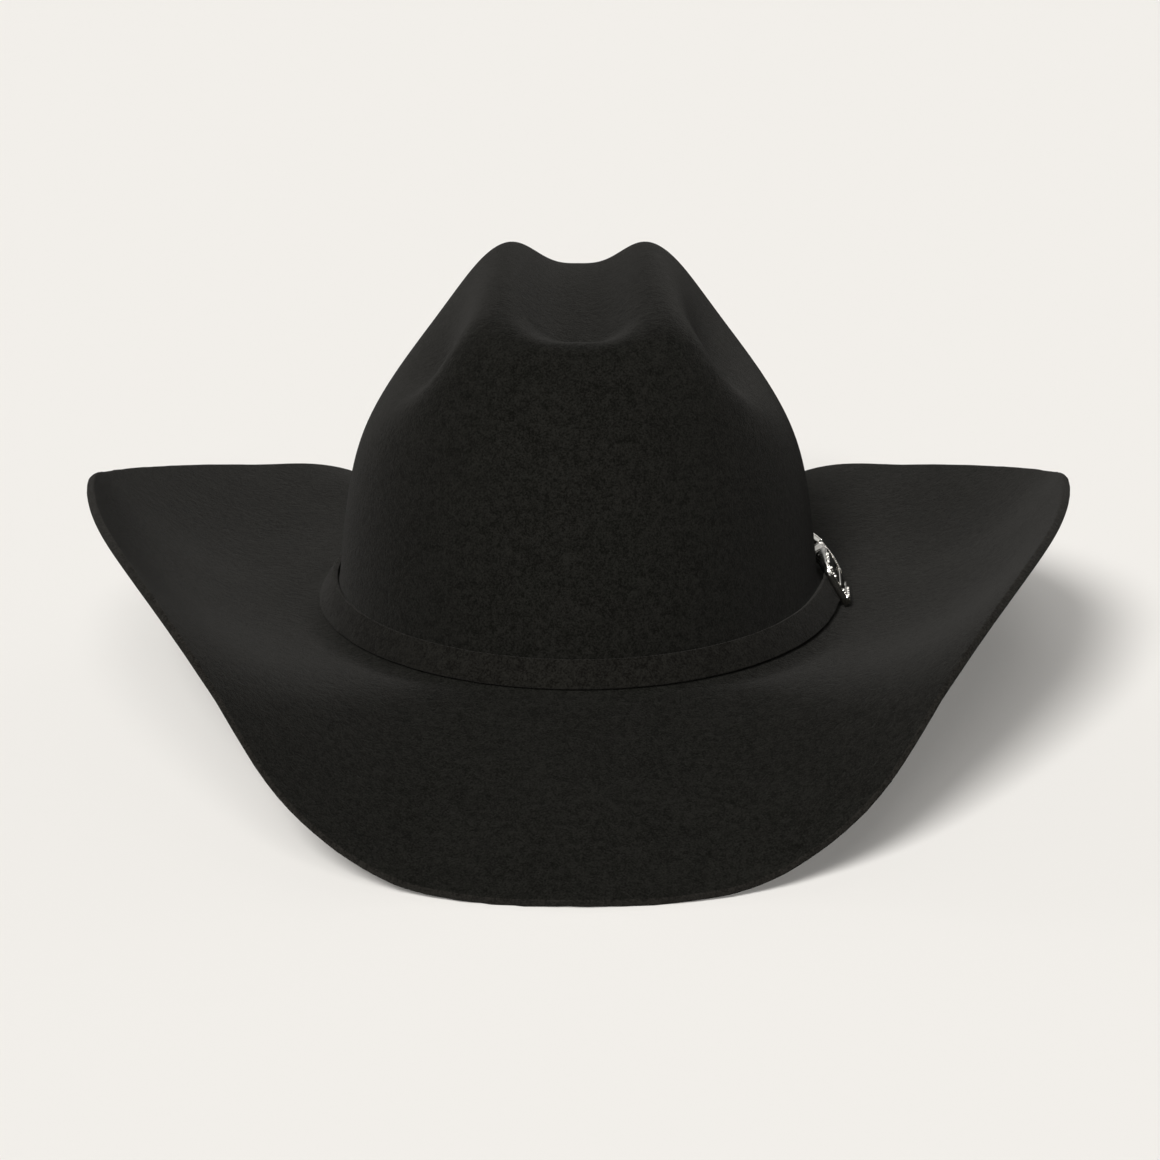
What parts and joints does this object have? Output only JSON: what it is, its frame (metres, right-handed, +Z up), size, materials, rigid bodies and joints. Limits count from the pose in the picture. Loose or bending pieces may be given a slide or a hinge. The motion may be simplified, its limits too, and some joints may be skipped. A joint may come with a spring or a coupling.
{
  "type": "cowboy hat",
  "caption": "Western felt hat with a creased and dented crown, a wide brim turned up at the sides, a lining and sweatband inside, and a felt band with a silver buckle, keeper and tip.",
  "frame": {"origin": "on the surface the hat stands on, below the middle of its outline", "axes": "+Z up, -Y towards the front of the hat, +X towards the wearer's left, where the buckle is"},
  "size_m": [0.3564, 0.4012, 0.1677],
  "materials": {
    "felt": "brushed black felt with a short nap",
    "sweat_leather": "smooth dark roan leather",
    "reed_plastic": "plain extruded cord",
    "tape_leather": "thin folded leather tape",
    "seam_leather": "thin leather strip",
    "ribbon": "satin ribbon",
    "label_cloth": "plain woven label, blank",
    "satin_side": "dark grey satin",
    "satin_tip": "dark grey satin",
    "piping_leather": "thin round piping",
    "clear_film": "clear flexible film",
    "band_felt": "black felt strap with cut edges",
    "stitch_thread": "waxed black thread",
    "buckle_silver": "polished silver plate with darkened recesses",
    "bar_steel": "plain steel pin",
    "buckle_ornament": "polished beads and scrolls on a darkened ground",
    "tongue_silver": "polished silver plate",
    "keeper_silver": "polished silver plate",
    "keeper_ornament": "polished beads and scrolls on a darkened ground",
    "tip_silver": "polished silver plate",
    "tip_ornament": "polished beads and scrolls on a darkened ground",
    "screw_steel": "small slotted screws"
  },
  "bodies": {
    "hat": {"felt_body": "felt", "sweatband": "sweat_leather", "sweatband_reed": "reed_plastic", "reed_tape": "tape_leather", "sweatband_seam": "seam_leather", "sweatband_bow": "ribbon", "size_label": "label_cloth", "liner_side": "satin_side", "liner_tip": "satin_tip", "liner_piping": "piping_leather", "liner_shield": "clear_film"},
    "band": {"hat_band": "band_felt", "fold_stitches": "stitch_thread", "buckle_frame": "buckle_silver", "buckle_bar": "bar_steel", "buckle_overlay": "buckle_ornament", "band_tip": "tip_silver", "tip_overlay": "tip_ornament", "tip_screws": "screw_steel"},
    "tongue": {"buckle_tongue": "tongue_silver"},
    "keeper": {"keeper_loop": "keeper_silver", "keeper_overlay": "keeper_ornament"}
  },
  "joints": [
    {"name": "band_lift", "type": "slide", "parent": "hat", "child": "band", "axis": [0, 0, 1], "range_m": [0, 0.14]},
    {"name": "tongue_swing", "type": "hinge", "parent": "band", "child": "tongue", "pos_m": [0.09198, 0.01011, 0.05273], "axis": [-0.5, 0, 0.866], "range_deg": [0, 95]},
    {"name": "keeper_slide", "type": "slide", "parent": "band", "child": "keeper", "axis": [-0.1706, 0.9853, 0], "range_m": [-0.003, 0.001]}
  ]
}
